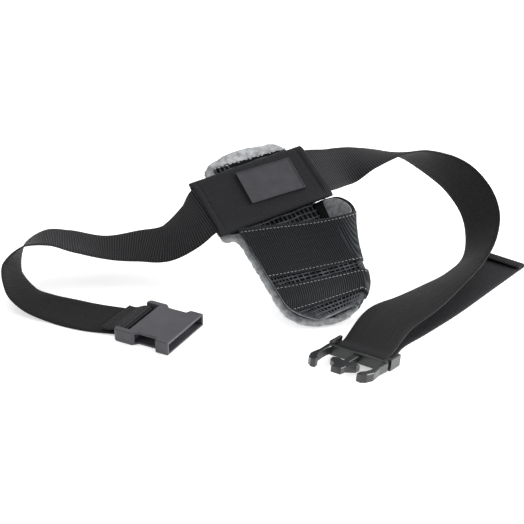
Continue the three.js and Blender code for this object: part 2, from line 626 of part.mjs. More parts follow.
function strapSections(padFrame, socket, plug) {
  const acrossSocket = new THREE.Vector3(1, 0, 0).transformDirection(socket.matrixWorld);
  const alongSocket = new THREE.Vector3(0, 1, 0).transformDirection(socket.matrixWorld);
  const widthAtSocket = acrossSocket.clone().multiplyScalar(-1);
  const local = (group, y, z) => group.localToWorld(new THREE.Vector3(0, y, z));

  const layered = -barWrap + strapThick + seat; // height of the folded end over the strap below it
  const start = [
    section(local(socket, -foldBack - barWrap, layered), widthAtSocket),
    section(local(socket, -foldBack * 0.6 - barWrap, layered), widthAtSocket),
    section(local(socket, -barWrap - 2.5, barWrap * 0.62), widthAtSocket),
  ];
  const roundSocketBar = turnSections(socket, barWrap, 110, -90, 6, widthAtSocket);
  const leaving = [section(local(socket, -10, -barWrap - 0.4), widthAtSocket)];

  const toLeft = lie(leftLie, leftReach, leftDepth).reverse();

  const sleeveAlong = new THREE.Vector3(1, 0, 0).transformDirection(padFrame.matrixWorld);
  const sleeveUp = new THREE.Vector3(0, 1, 0).transformDirection(padFrame.matrixWorld);
  const sleeveHalf = sleeveLength / 2;
  const inSleeve = [-1.1, -0.9, -0.4, 0, 0.4, 0.9, 1.1].map((share) => section(
    padFrame.localToWorld(new THREE.Vector3(share * sleeveHalf, 0, 0)), sleeveUp,
  ));

  const toRight = lie(rightLie, rightReach, rightDepth);

  const acrossPlug = new THREE.Vector3(1, 0, 0).transformDirection(plug.matrixWorld);
  const roundPlugBar = [
    section(local(plug, -11, barWrap + 0.6), acrossPlug),
    ...turnSections(plug, barWrap, 90, -90, 6, acrossPlug),
    section(local(plug, -11, -barWrap), acrossPlug),
  ];

  const toTail = lie(tailLie, tailReach, tailDepth);
  const hemAcross = direction(141, 0);
  const tailRun = direction(141 - 90, 0);
  const hemBase = new THREE.Vector3(tailReach, tailDepth, strapThick / 2 + 0.25);
  const hem = [
    section(hemBase.clone().addScaledVector(tailRun, -hemLength), hemAcross),
    section(hemBase.clone(), hemAcross),
  ];
  for (let step = 1; step <= 4; step += 1) {
    const angle = (Math.PI * step) / 4;
    const place = hemBase.clone().addScaledVector(tailRun, hemRadius * Math.sin(angle));
    place.z += hemRadius * (1 - Math.cos(angle));
    hem.push(section(place, hemAcross));
  }
  const foldedEnd = hemBase.clone().addScaledVector(tailRun, -hemLength);
  foldedEnd.z += 2 * hemRadius;
  hem.push(section(foldedEnd, hemAcross));

  const left = [...start, ...roundSocketBar, ...leaving, ...toLeft];
  const right = [...inSleeve, ...toRight, ...roundPlugBar];
  return {
    sections: [...left, ...right, ...toTail, ...hem],
    inSleeveMiddle: left.length + 3,
    underPlug: left.length + right.length - 1,
  };
}

// The strap in three lengths, parted where the sleeve and the plug hide it
function strapLengths(sleeve, socket, plug) {
  const { sections, inSleeveMiddle, underPlug } = strapSections(sleeve, socket, plug);
  const cuts = [0, inSleeveMiddle, underPlug, sections.length - 1];
  return ['strap_left', 'strap_right', 'strap_tail'].map(
    (name, i) => meshOf(name, ribbon(sections, cuts[i], cuts[i + 1]), webbingLook),
  );
}

// Assembly

const belt = new THREE.Group();
const layout = new THREE.Group();
belt.add(layout);

const padTurning = new THREE.Group();
const padTilting = new THREE.Group();
const pad = new THREE.Group();
padTurning.rotation.z = rad(padTurn);
padTilting.rotation.x = rad(padTilt);
pad.rotation.z = rad(padRoll);
padTurning.add(padTilting);
padTilting.add(pad);
layout.add(padTurning);
const sleeve = beltSleeve();
pad.add(feltBacking(), meshFacing(), sleeve, labelPatch(), ...pocketPieces());
padTurning.position.set(padPlace.x, padPlace.y, 0);
belt.updateMatrixWorld(true);
padTurning.position.z = -new THREE.Box3().setFromObject(pad, true).min.z;

const socket = buckleSocket();
socket.position.set(socketPlace.x, socketPlace.y, buckleThick / 2);
socket.rotation.z = rad(socketPlace.heading - 90);
layout.add(socket);

const plugStand = new THREE.Group();
const plug = bucklePlug();
const plugRear = guardLength - 1; // from the bar back to the ends of its guards
plugStand.position.set(
  plugPlace.x, plugPlace.y, plugRear * Math.sin(rad(tipPitch)) + (buckleThick / 2) * Math.cos(rad(tipPitch)),
);
plugStand.rotation.z = rad(plugPlace.heading - 90);
plug.rotation.x = rad(tipPitch);
plugStand.add(plug);
layout.add(plugStand);
belt.updateMatrixWorld(true);

layout.add(...strapLengths(sleeve, socket, plug));

// The origin is the middle of the footprint, on the table
belt.updateMatrixWorld(true);
const extent = new THREE.Box3().setFromObject(layout, true);
layout.position.set(
  -(extent.min.x + extent.max.x) / 2,
  -(extent.min.y + extent.max.y) / 2,
  -extent.min.z,
);
belt.updateMatrixWorld(true);

export default belt;
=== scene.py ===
# A fishing fighting belt laid out on a pale table. Sizes are in millimetres until a mesh is made.
from math import ceil, cos, exp, floor, pi, radians, sin, sqrt

import bmesh
import bpy
from mathutils import Matrix, Vector, noise


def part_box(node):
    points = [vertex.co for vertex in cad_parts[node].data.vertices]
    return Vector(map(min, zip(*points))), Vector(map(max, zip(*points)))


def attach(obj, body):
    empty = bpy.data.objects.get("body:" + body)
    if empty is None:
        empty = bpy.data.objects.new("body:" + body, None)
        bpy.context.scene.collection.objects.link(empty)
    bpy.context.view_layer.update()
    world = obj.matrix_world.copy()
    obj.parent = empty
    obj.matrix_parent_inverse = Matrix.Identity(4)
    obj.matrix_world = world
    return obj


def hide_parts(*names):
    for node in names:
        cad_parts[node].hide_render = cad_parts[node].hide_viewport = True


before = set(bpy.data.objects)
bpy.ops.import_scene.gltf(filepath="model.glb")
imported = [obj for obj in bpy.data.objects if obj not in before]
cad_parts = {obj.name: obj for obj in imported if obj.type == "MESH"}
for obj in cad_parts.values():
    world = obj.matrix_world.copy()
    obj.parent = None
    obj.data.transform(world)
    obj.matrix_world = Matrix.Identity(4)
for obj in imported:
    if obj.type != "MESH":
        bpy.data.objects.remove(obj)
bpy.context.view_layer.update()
mm = 0.001
noise.seed_set(7)  # noise_vector would otherwise start from the clock and differ from run to run

# The layout, within a few millimetres of the CAD's. The frames below place the pieces from it.
strap = {
    "width": 50, "thick": 1.8, "edge": 0.7, "side": 0.35, "foldBack": 20,
    "hem": 11, "hemRadius": 1.5, "hemHeading": 51,
    "ribPitch": 2.5, "ribHeight": 0.16, "step": 0.62,
    "spread": 0.15, "spreadLeft": 90, "spreadRight": 30,  # wider beside the sleeve, and how far that reaches
    "leftReach": 250, "leftDepth": 100, "rightReach": 237, "rightDepth": 149,
    "tailReach": 258, "tailDepth": 80,
    "socket": (-122, -60, -28), "plug": (91, -129, 237), "plugPitch": 10,
    "barRadius": 2.6, "barClear": 0.35, "buckleThick": 13.5, "plugRear": 18,
}
pad = {
    "turn": 14, "tilt": 29.5, "roll": 16, "place": (-2.5, 67),
    "felt": 8, "facing": 2.2, "seat": 0.3, "border": 6,
    "half": 49.5, "straight": 126, "end": 167,
    "wingHalf": 64, "wingRise": 32, "wingDropLeft": 40, "wingDropRight": 29,
}
sleeve = {
    "length": 131, "highLeft": 71, "highRight": 70, "crown": 4.1, "hem": 1.3, "wall": 1.6, "slotRoom": 1.0,
    "seamLeft": 7, "seamRight": 9, "rollLeft": 3, "rollRight": 4,
}
label = {"x": 12.2, "y": 3.6, "turn": -3, "long": 61, "high": 41, "rim": 1.9, "thick": 2.1}

# across, deep, rise, heading and pitch of the strap's sections, close to the CAD's
leftLie = [
    (-0.292, 0.31, 1.29, 113, 22), (-0.40, 0.38, 0.86, 107, 14), (-0.505, 0.425, 0.75, 102, 12),
    (-0.64, 0.41, 0.72, 101, 3), (-0.775, 0.33, 0.94, 102, 1), (-0.87, 0.29, 1.06, 103, -7),
    (-0.965, 0.21, 0.94, 97, -22), (-1.008, 0.09, 0.57, 77, -30), (-0.97, -0.055, 0.23, 64, -20),
    (-0.895, -0.19, 0.09, 60, -8), (-0.78, -0.325, 0.035, 60, 0), (-0.67, -0.45, 0.04, 60, 2),
]
rightLie = [
    (0.355, 0.74, 1.96, 117, 29), (0.465, 0.815, 2.06, 110, 5), (0.58, 0.90, 2.06, 108, -15),
    (0.70, 0.965, 1.935, 113, -32), (0.81, 1.0, 1.66, 127, -43), (0.91, 0.955, 1.36, 140, -45),
    (0.98, 0.84, 1.0, 146, -44), (1.0, 0.70, 0.70, 148, -42), (0.97, 0.47, 0.43, 147, -43),
    (0.88, 0.22, 0.31, 147, -32), (0.76, -0.025, 0.28, 146, -18), (0.635, -0.29, 0.32, 146, -4),
    (0.51, -0.515, 0.34, 146, 6),
]
tailLie = [
    (0.435, -1.10, 0.03, 144, 0), (0.545, -0.725, 0.026, 140, 0), (0.675, -0.275, 0.03, 138, 0),
    (0.843, 0.385, 0.022, 139, 0),
]


# Frames of the pad and the buckle halves, before the whole layout is centred
def turned(angle, axis):
    return Matrix.Rotation(radians(angle), 4, axis)


def boxMiddle(node):
    low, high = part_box(node)
    return (Vector(low) + Vector(high)) / 2 / mm


def onTable(place, height, turn):
    return Matrix.Translation((*place, height)) @ turned(turn - 90, "Z")


facingTop = pad["felt"] + pad["seat"] + pad["facing"]
sleeveMiddle = facingTop + pad["seat"] + sleeve["crown"]
labelHeight = sleeveMiddle + sleeve["crown"] + pad["seat"] + label["thick"] / 2
padTurns = turned(pad["turn"], "Z") @ turned(pad["tilt"], "X") @ turned(pad["roll"], "Z")
labelMiddle = padTurns @ Vector((label["x"], label["y"], labelHeight))
cadLabel = boxMiddle("label_patch")
padPlace = Vector((*pad["place"], cadLabel.z - labelMiddle.z))
padFrame = Matrix.Translation(padPlace) @ padTurns
sleeveFrame = padFrame @ Matrix.Translation((0, 0, sleeveMiddle))
shift = cadLabel - labelMiddle - padPlace
print("layout shift", tuple(round(v, 2) for v in shift))
plugLean = radians(strap["plugPitch"])
plugHigh = strap["plugRear"] * sin(plugLean) + strap["buckleThick"] / 2 * cos(plugLean)
socketFrame = onTable(strap["socket"][:2], strap["buckleThick"] / 2, strap["socket"][2])
plugFrame = onTable(strap["plug"][:2], plugHigh, strap["plug"][2]) @ turned(strap["plugPitch"], "X")


def catmullRom(points, centripetal=True):
    stretched = [2 * points[0] - points[1], *points, 2 * points[-1] - points[-2]]

    def at(t):
        i = min(int(t), len(points) - 2)
        w = t - i
        a, b, c, d = stretched[i:i + 4]
        if centripetal:
            gaps = [max((q - p).length, 1e-6) ** 0.5 for p, q in ((a, b), (b, c), (c, d))]
            start = ((b - a) / gaps[0] - (c - a) / (gaps[0] + gaps[1]) + (c - b) / gaps[1]) * gaps[1]
            end = ((c - b) / gaps[1] - (d - b) / (gaps[1] + gaps[2]) + (d - c) / gaps[2]) * gaps[1]
        else:
            start, end = (c - a) / 2, (d - b) / 2
        return ((2 * w**3 - 3 * w**2 + 1) * b + (w**3 - 2 * w**2 + w) * start
                + (3 * w**2 - 2 * w**3) * c + (w**3 - w**2) * end)

    return at


# A value part of the way along a table, on a smooth curve
def alongTable(values, share):
    scaled = share * (len(values) - 1)
    i = min(len(values) - 2, int(floor(scaled)))
    t = scaled - i
    before, after = values[max(0, i - 1)], values[min(len(values) - 1, i + 2)]
    a, b = values[i], values[i + 1]
    slopeA = (b - before) / (1 if i == 0 else 2)
    slopeB = (after - a) / (1 if i + 2 > len(values) - 1 else 2)
    return ((2 * t**3 - 3 * t**2 + 1) * a + (t**3 - 2 * t**2 + t) * slopeA
            + (3 * t**2 - 2 * t**3) * b + (t**3 - t**2) * slopeB)


def direction(heading, pitch):
    h, p = radians(heading), radians(pitch)
    return Vector((cos(p) * cos(h), cos(p) * sin(h), sin(p)))


# Place and width direction of each section, from the sewn end to the hem's turned-in edge
def strapSections():
    barWrap = strap["barRadius"] + strap["barClear"] + strap["thick"] / 2
    fold = strap["foldBack"]

    def lie(table, reach, depth):
        return [(Vector((a * reach, d * depth, r * strap["width"])), direction(h, p))
                for a, d, r, h, p in table]

    def turn(frameOf, first, last, width):
        angles = [radians(first + (last - first) * k / 6) for k in range(7)]
        return [(frameOf @ Vector((0, barWrap * cos(a), barWrap * sin(a))), width) for a in angles]

    socketWidth = -(socketFrame.to_3x3() @ Vector((1, 0, 0)))
    plugWidth = plugFrame.to_3x3() @ Vector((1, 0, 0))
    layered = -barWrap + strap["thick"] + pad["seat"]
    sewn = ((-fold - barWrap, layered), (-fold * 0.6 - barWrap, layered), (-barWrap - 2.5, barWrap * 0.62))
    sections = [(socketFrame @ Vector((0, y, z)), socketWidth) for y, z in sewn]
    sections += turn(socketFrame, 110, -90, socketWidth)
    sections += [(socketFrame @ Vector((0, -10, -barWrap - 0.4)), socketWidth)]
    sections += lie(leftLie, strap["leftReach"], strap["leftDepth"])[::-1]
    up = sleeveFrame.to_3x3() @ Vector((0, 1, 0))
    sections += [(sleeveFrame @ Vector((share * sleeve["length"] / 2, 0, 0)), up)
                 for share in (-0.96, -0.6, 0, 0.6, 0.96)]
    sections += lie(rightLie, strap["rightReach"], strap["rightDepth"])
    sections += [(plugFrame @ Vector((0, -11, barWrap + 0.6)), plugWidth)]
    sections += turn(plugFrame, 90, -90, plugWidth)
    sections += [(plugFrame @ Vector((0, -11, -barWrap)), plugWidth)]
    sections += lie(tailLie, strap["tailReach"], strap["tailDepth"])
    across, run = direction(strap["hemHeading"] + 90, 0), direction(strap["hemHeading"], 0)
    base = Vector((strap["tailReach"], strap["tailDepth"], strap["thick"] / 2 + 0.25))
    radius = strap["hemRadius"]
    sections += [(base - run * strap["hem"], across), (base, across)]
    sections += [(base + run * (radius * sin(a)) + Vector((0, 0, radius * (1 - cos(a)))), across)
                 for a in [pi * k / 4 for k in (1, 2, 3, 4)]]
    sections += [(base - run * strap["hem"] + Vector((0, 0, 2 * radius)), across)]
    return sections


# Close stations along the strap: place, along, width, face and distance from the sewn end
def strapStations(sections, step):
    centre = catmullRom([s[0] for s in sections])
    widthAt = catmullRom([s[1] for s in sections], False)
    times = [0.0]
    for i in range(len(sections) - 1):
        steps = max(1, ceil((sections[i][0] - sections[i + 1][0]).length / step))
        times += [i + (k + 1) / steps for k in range(steps)]
    stations, run, last = [], 0.0, None
    for t in times:
        here = centre(t)
        along = (centre(min(t + 1e-3, len(sections) - 1)) - centre(max(t - 1e-3, 0))).normalized()
        width = widthAt(t)
        width = (width - along * width.dot(along)).normalized()
        run += (here - last).length if last else 0
        last = here
        stations.append((here, along, width, along.cross(width), run))
    return stations


sections = strapSections()


# Mesh and node helpers
def linear(hexColor):
    parts = [int(hexColor[k:k + 2], 16) / 255 for k in (1, 3, 5)]
    return (*[c / 12.92 if c <= 0.04045 else ((c + 0.055) / 1.055) ** 2.4 for c in parts], 1)


def meshObject(name, points, faces, material=None, smooth=True, uvs=None):
    mesh = bpy.data.meshes.new(name)
    mesh.from_pydata([(p + shift) * mm for p in points], [], faces)
    if uvs:
        layer = mesh.uv_layers.new(name="weave")
        for loop in mesh.loops:
            layer.data[loop.index].uv = uvs[loop.vertex_index]
    mesh.polygons.foreach_set("use_smooth", [smooth] * len(mesh.polygons))
    piece = bpy.data.objects.new(name, mesh)
    bpy.context.scene.collection.objects.link(piece)
    if material:
        mesh.materials.append(material)
    return piece


# Closed rings joined in order, with both ends capped
def loft(name, rings, material, uvs=None, smooth=True):
    count = len(rings[0])
    points = [p for ring in rings for p in ring]
    faces = []
    for i in range(len(rings) - 1):
        for k in range(count):
            a, b = i * count + k, i * count + (k + 1) % count
            faces.append((a, b, b + count, a + count))
    faces.append(tuple(reversed(range(count))))
    faces.append(tuple(range(len(points) - count, len(points))))
    return meshObject(name, points, faces, material, smooth, uvs)


def addNode(tree, kind, inputs=None, **settings):
    node = tree.nodes.new(kind)
    for key, value in settings.items():
        setattr(node, key, value)
    for key, value in (inputs or {}).items():
        if isinstance(value, bpy.types.NodeSocket):
            tree.links.new(value, node.inputs[key])
        else:
            node.inputs[key].default_value = value
    return node


def fit(piece, replaced=None):
    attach(piece, "root")
    if replaced:
        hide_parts(replaced)
    return piece


# The evaluated object as a plain mesh, without its modifiers
def bake(piece):
    bpy.context.view_layer.update()
    evaluated = piece.evaluated_get(bpy.context.evaluated_depsgraph_get())
    mesh = bpy.data.meshes.new_from_object(evaluated)
    if piece.type == "MESH":
        piece.modifiers.clear()
        piece.data = mesh
        return piece
    name = piece.name
    bpy.data.objects.remove(piece)
    baked = bpy.data.objects.new(name, mesh)
    bpy.context.scene.collection.objects.link(baked)
    return baked


# Materials
def newMaterial(name):
    material = bpy.data.materials.new(name)
    material.use_nodes = True
    tree = material.node_tree
    shader = next(n for n in tree.nodes if n.type == "BSDF_PRINCIPLED")
    return material, tree, shader


# A wave along one coordinate, from -1 to 1
def waveAlong(tree, value, pitch):
    turns = addNode(tree, "ShaderNodeMath", {0: value, 1: 2 * pi / pitch}, operation="MULTIPLY").outputs[0]
    return addNode(tree, "ShaderNodeMath", {0: turns}, operation="SINE").outputs[0]


otherFace = 100  # added to the width coordinate on the strap's other face


# Ribbed webbing: ribs cross the band's width, fine threads run along it. The UV map is in millimetres.
def webbingMaterial(name, look):
    material, tree, shader = newMaterial(name)
    uv = addNode(tree, "ShaderNodeUVMap", uv_map="weave").outputs[0]
    parts = addNode(tree, "ShaderNodeSeparateXYZ", {0: uv}).outputs
    rib = waveAlong(tree, parts[0], look["rib"])
    thread = waveAlong(tree, parts[1], look["thread"])
    halfRib = waveAlong(tree, parts[0], look["rib"] / 2)
    crossing = addNode(tree, "ShaderNodeMath", {0: halfRib, 1: thread}, operation="MULTIPLY").outputs[0]
    stretched = addNode(tree, "ShaderNodeMapping", {0: uv, 3: (0.02, 0.35, 1)}).outputs[0]
    streak = addNode(tree, "ShaderNodeTexNoise",
                     {"Vector": stretched, "Scale": 1.0, "Detail": 4.0}).outputs[0]
    fuzz = addNode(tree, "ShaderNodeTexNoise", {"Vector": uv, "Scale": 2.3, "Detail": 3.0}).outputs[0]
    # Painted highlight: rib crests are coloured lighter, standing in for the light they catch
    crestHighlight = addNode(tree, "ShaderNodeMapRange",
                    {0: rib, 1: look["crestFrom"], 2: 1.0, 3: 0.0, 4: look["crestHighlight"]}).outputs[0]
    # The painted crest highlight is fainter on the other face, and dotted where a thread crosses it
    isOther = addNode(tree, "ShaderNodeMath", {0: parts[1], 1: otherFace * 0.6},
                      operation="GREATER_THAN").outputs[0]
    share = addNode(tree, "ShaderNodeMath", {0: isOther, 1: -look.get("backDark", 0.0), 2: 1.0},
                    operation="MULTIPLY_ADD").outputs[0]
    crestHighlight = addNode(tree, "ShaderNodeMath", {0: crestHighlight, 1: share}, operation="MULTIPLY").outputs[0]
    dotted = addNode(tree, "ShaderNodeMath", {0: thread, 1: 0.25, 2: 0.75},
                     operation="MULTIPLY_ADD").outputs[0]
    amount = addNode(tree, "ShaderNodeMath", {0: streak, 1: look["streak"]}, operation="MULTIPLY").outputs[0]
    amount = addNode(tree, "ShaderNodeMath", {0: crestHighlight, 1: dotted, 2: amount},
                     operation="MULTIPLY_ADD").outputs[0]
    color = addNode(tree, "ShaderNodeMix", {0: amount, 6: linear(look["dark"]), 7: linear(look["light"])},
                    data_type="RGBA", clamp_factor=True).outputs[2]
    tree.links.new(color, shader.inputs["Base Color"])
    height = addNode(tree, "ShaderNodeMath", {0: crossing, 1: 0.6}, operation="MULTIPLY").outputs[0]
    for part, size in ((rib, look["ribBump"]), (fuzz, 0.8)):
        height = addNode(tree, "ShaderNodeMath", {0: part, 1: size, 2: height},
                         operation="MULTIPLY_ADD").outputs[0]
    bump = addNode(tree, "ShaderNodeBump",
                   {"Strength": look["bump"], "Distance": 0.2 * mm, "Height": height}).outputs[0]
    tree.links.new(bump, shader.inputs["Normal"])
    shader.inputs["Roughness"].default_value = 0.6
    shader.inputs["Sheen Weight"].default_value = 0.02
    shader.inputs["Sheen Roughness"].default_value = 0.4
    shader.inputs["Specular IOR Level"].default_value = look["gloss"]
    return material


# Cloth, felt and moulded surfaces on Object coordinates. "cloud" and "grain" count the patches in a
# metre, so 160 is 6 mm wide, 900 is 1.1 mm and 2500 is 0.4 mm.
def grainMaterial(name, look):
    material, tree, shader = newMaterial(name)
    place = addNode(tree, "ShaderNodeTexCoord").outputs["Object"]
    cloud = addNode(tree, "ShaderNodeTexNoise",
                    {"Vector": place, "Scale": look["cloud"], "Detail": 4.0}).outputs[0]
    grain = addNode(tree, "ShaderNodeTexNoise",
                    {"Vector": place, "Scale": look["grain"], "Detail": 5.0, "Roughness": 0.65}).outputs[0]
    both = addNode(tree, "ShaderNodeMath", {0: cloud, 1: 0.6}, operation="MULTIPLY").outputs[0]
    both = addNode(tree, "ShaderNodeMath", {0: grain, 1: 0.4, 2: both}, operation="MULTIPLY_ADD").outputs[0]
    amount = addNode(tree, "ShaderNodeMapRange", {0: both, 1: 0.36, 2: 0.64}).outputs[0]
    color = addNode(tree, "ShaderNodeMix", {0: amount, 6: linear(look["dark"]), 7: linear(look["light"])},
                    data_type="RGBA").outputs[2]
    tree.links.new(color, shader.inputs["Base Color"])
    bump = addNode(tree, "ShaderNodeBump",
                   {"Strength": look["bump"], "Distance": look["bumpDeep"] * mm, "Height": grain}).outputs[0]
    tree.links.new(bump, shader.inputs["Normal"])
    rough = addNode(tree, "ShaderNodeMapRange",
                    {0: grain, 3: look["rough"] - 0.06, 4: look["rough"] + 0.06}).outputs[0]
    tree.links.new(rough, shader.inputs["Roughness"])
    shader.inputs["Sheen Weight"].default_value = look.get("sheen", 0.0)
    shader.inputs["Specular IOR Level"].default_value = look.get("gloss", 0.35)
    return material


# Polyester webbing, woven: dull black, with a painted highlight on its rib crests where they catch the light.
# Real ribs are nearer 1.5 mm apart, which wouldn't show, so they are drawn wider apart here and on the bands
# and the sleeve.
strapCloth = webbingMaterial("black webbing", {
    "rib": strap["ribPitch"], "thread": 1.1, "dark": "#0d0d0e", "light": "#57575b", "crestHighlight": 0.5,
    "crestFrom": 0.1, "streak": 0.10, "ribBump": 0.8, "bump": 0.7, "gloss": 0.12, "backDark": 0.7})
# Heavier webbing, woven: bluish black with deeper ribs
bandCloth = webbingMaterial("black band webbing", {
    "rib": 2.1, "thread": 1.6, "dark": "#060708", "light": "#4b4f54", "crestHighlight": 0.55,
    "crestFrom": 0.1, "streak": 0.12, "ribBump": 1.8, "bump": 0.9, "gloss": 0.14})
# Close woven nylon cloth: black, nearly plain, with faint streaks
sleeveCloth = webbingMaterial("black sleeve cloth", {
    "rib": 1.9, "thread": 1.5, "dark": "#08080a", "light": "#3a3b40", "crestHighlight": 0.45,
    "crestFrom": 0.0, "streak": 0.16, "ribBump": 1.0, "bump": 0.8, "gloss": 0.14})
# Fleece felt, pressed: pale mottled grey, rough and without gloss
feltCloth = grainMaterial("grey felt", {
    "dark": "#6c6e71", "light": "#b4b6b8", "cloud": 160, "grain": 900,
    "bump": 0.9, "bumpDeep": 0.7, "rough": 0.95, "sheen": 0.3})
# The same felt, thinner, with painted shade: a darker grey inside the pocket
shadedLiningFelt = grainMaterial("grey lining in painted shade", {
    "dark": "#515356", "light": "#8c8e91", "cloud": 160, "grain": 900,
    "bump": 0.8, "bumpDeep": 0.5, "rough": 0.95, "sheen": 0.2})
# Knitted nylon cord: charcoal with a soft shine
netCord = grainMaterial("black net cord", {
    "dark": "#1c1d20", "light": "#55585d", "cloud": 120, "grain": 1500,
    "bump": 0.5, "bumpDeep": 0.2, "rough": 0.75})
# Thin matt cloth under the nets: almost nothing comes back from it. It also paints shade, on the pocket's
# shade strip
backingAndShadeCloth = grainMaterial("black backing and shade cloth", {
    "dark": "#0b0b0c", "light": "#161718", "cloud": 120, "grain": 1500,
    "bump": 0.5, "bumpDeep": 0.2, "rough": 0.9, "gloss": 0.1})
# Spun polyester thread: light grey dashes
whiteThread = grainMaterial("pale thread", {
    "dark": "#7f8284", "light": "#b4b7b9", "cloud": 50, "grain": 2500,
    "bump": 0.4, "bumpDeep": 0.1, "rough": 0.7})
# The same thread in black: small bumps on black cloth
darkThread = grainMaterial("black thread", {
    "dark": "#1a1a1c", "light": "#3a3b3e", "cloud": 200, "grain": 2500,
    "bump": 0.4, "bumpDeep": 0.1, "rough": 0.6})
# Soft rubber, moulded: dark grey and even; its rim is darker, painted shade along the raised edge
labelRubber = grainMaterial("grey rubber", {
    "dark": "#27272b", "light": "#333338", "cloud": 90, "grain": 1200,
    "bump": 0.25, "bumpDeep": 0.1, "rough": 0.55})
shadedRimRubber = grainMaterial("rubber rim in painted shade", {
    "dark": "#1b1b1e", "light": "#26262a", "cloud": 90, "grain": 1200,
    "bump": 0.25, "bumpDeep": 0.1, "rough": 0.5})
# Acetal, injection moulded: grey satin on the socket half, blacker and glossier on the plug half
socketPlastic = grainMaterial("grey moulded plastic", {
    "dark": "#3c3c40", "light": "#48484d", "cloud": 40, "grain": 1800,
    "bump": 0.18, "bumpDeep": 0.08, "rough": 0.46})
plugPlastic = grainMaterial("dark moulded plastic", {
    "dark": "#0f1012", "light": "#1a1c1e", "cloud": 40, "grain": 1800,
    "bump": 0.18, "bumpDeep": 0.08, "rough": 0.3, "gloss": 0.6})
print("materials ready")


# A new tree with its inputs, their identifiers and the nodes' source of them
def newTree(name, numbers, material):
    tree = bpy.data.node_groups.new(name, "GeometryNodeTree")
    tree.interface.new_socket("Geometry", in_out="INPUT", socket_type="NodeSocketGeometry")
    kinds = {**{number: "NodeSocketFloat" for number in numbers}, material: "NodeSocketMaterial"}
    sockets = {key: tree.interface.new_socket(key, in_out="INPUT", socket_type=kind).identifier
               for key, kind in kinds.items()}
    tree.interface.new_socket("Geometry", in_out="OUTPUT", socket_type="NodeSocketGeometry")
    return tree, sockets, addNode(tree, "NodeGroupInput").outputs


def endTree(tree, made, material, smooth=True):
    made = addNode(tree, "GeometryNodeRealizeInstances", {0: made}).outputs[0]
    if smooth:
        made = addNode(tree, "GeometryNodeSetShadeSmooth", {0: made}).outputs[0]
    painted = addNode(tree, "GeometryNodeSetMaterial", {"Geometry": made, "Material": material}).outputs[0]
    addNode(tree, "NodeGroupOutput", {0: painted})


# The tree's result on an object, as a plain mesh
def runTree(piece, tree, sockets, values):
    modifier = piece.modifiers.new(tree.name, "NODES")
    modifier.node_group = tree
    for key, value in values.items():
        modifier[sockets[key]] = value
    return bake(piece)


# Thread stitches along a line of points on a surface
def stitchTree():
    tree, sockets, source = newTree("stitch row", ("Pitch", "Length", "Thickness"), "Thread")
    even = addNode(tree, "GeometryNodeResampleCurve",
                   {"Curve": source["Geometry"], "Length": source["Pitch"]}, mode="LENGTH").outputs[0]
    thread = addNode(tree, "GeometryNodeMeshUVSphere",
                     {"Segments": 7, "Rings": 5, "Radius": 1.0}).outputs["Mesh"]
    size = addNode(tree, "ShaderNodeCombineXYZ",
                   {0: source["Thickness"], 1: source["Thickness"], 2: source["Length"]}).outputs[0]
    tangent = addNode(tree, "GeometryNodeInputTangent").outputs[0]
    aim = addNode(tree, "FunctionNodeAlignRotationToVector", {"Vector": tangent}, axis="Z").outputs[0]
    rows = addNode(tree, "GeometryNodeInstanceOnPoints",
                   {"Points": even, "Instance": thread, "Rotation": aim, "Scale": size}).outputs[0]
    endTree(tree, rows, source["Thread"])
    return tree, sockets


stitches = stitchTree()


def stitchRow(name, points, thread, pitch=3.6, length=2.4, thickness=0.27):
    curve = bpy.data.curves.new(name, "CURVE")
    curve.dimensions = "3D"
    spline = curve.splines.new("POLY")
    spline.points.add(len(points) - 1)
    for k, p in enumerate(points):
        spline.points[k].co = (*((p + shift) * mm), 1)
    row = bpy.data.objects.new(name, curve)
    bpy.context.scene.collection.objects.link(row)
    row = runTree(row, *stitches, {"Pitch": pitch * mm, "Length": length / 2 * mm,
                                   "Thickness": thickness * mm, "Thread": thread})
    return fit(row)


# Cords of a ladder net along the edges of a grid; rails are its long threads
def netTree():
    tree, sockets, source = newTree("ladder net", ("Rail", "Rung"), "Cord")
    isRail = addNode(tree, "GeometryNodeInputNamedAttribute", {"Name": "rail"},
                     data_type="BOOLEAN").outputs[0]
    isRung = addNode(tree, "FunctionNodeBooleanMath", {0: isRail}, operation="NOT").outputs[0]
    joined = addNode(tree, "GeometryNodeJoinGeometry")
    for chosen, size in ((isRail, "Rail"), (isRung, "Rung")):
        line = addNode(tree, "GeometryNodeMeshToCurve",
                       {"Mesh": source["Geometry"], "Selection": chosen}).outputs[0]
        ring = addNode(tree, "GeometryNodeCurvePrimitiveCircle",
                       {"Resolution": 6, "Radius": source[size]}).outputs[0]
        cord = addNode(tree, "GeometryNodeCurveToMesh",
                       {"Curve": line, "Profile Curve": ring, "Fill Caps": True}).outputs[0]
        tree.links.new(cord, joined.inputs[0])
    endTree(tree, joined.outputs[0], source["Cord"])
    return tree, sockets


netCords = netTree()
netStep = 3  # points along a rail from one rung to the next


# pointAt(i, j) gives a point of the net, or None where there is none
def ladderNet(name, columns, rows, pointAt, rail, rung):
    index, points, edges, rails = {}, [], [], []

    def vertex(i, j):
        if (i, j) not in index:
            p = pointAt(i, j)
            index[(i, j)] = len(points) if p is not None else None
            if p is not None:
                points.append((p + shift) * mm)
        return index[(i, j)]

    for j in range(rows + 1):
        for i in range(columns + 1):
            here = vertex(i, j)
            for di, dj in ((1, 0), (0, 1)):
                if here is None or i + di > columns or j + dj > rows:
                    continue
                there = vertex(i + di, j + dj)
                if there is None or (dj and i % netStep):
                    continue
                edges.append((here, there))
                rails.append(dj == 0)
    mesh = bpy.data.meshes.new(name)
    mesh.from_pydata(points, edges, [])
    mesh.attributes.new("rail", "BOOLEAN", "EDGE").data.foreach_set("value", rails)
    net = bpy.data.objects.new(name, mesh)
    bpy.context.scene.collection.objects.link(net)
    return runTree(net, *netCords, {"Rail": rail * mm, "Rung": rung * mm, "Cord": netCord})


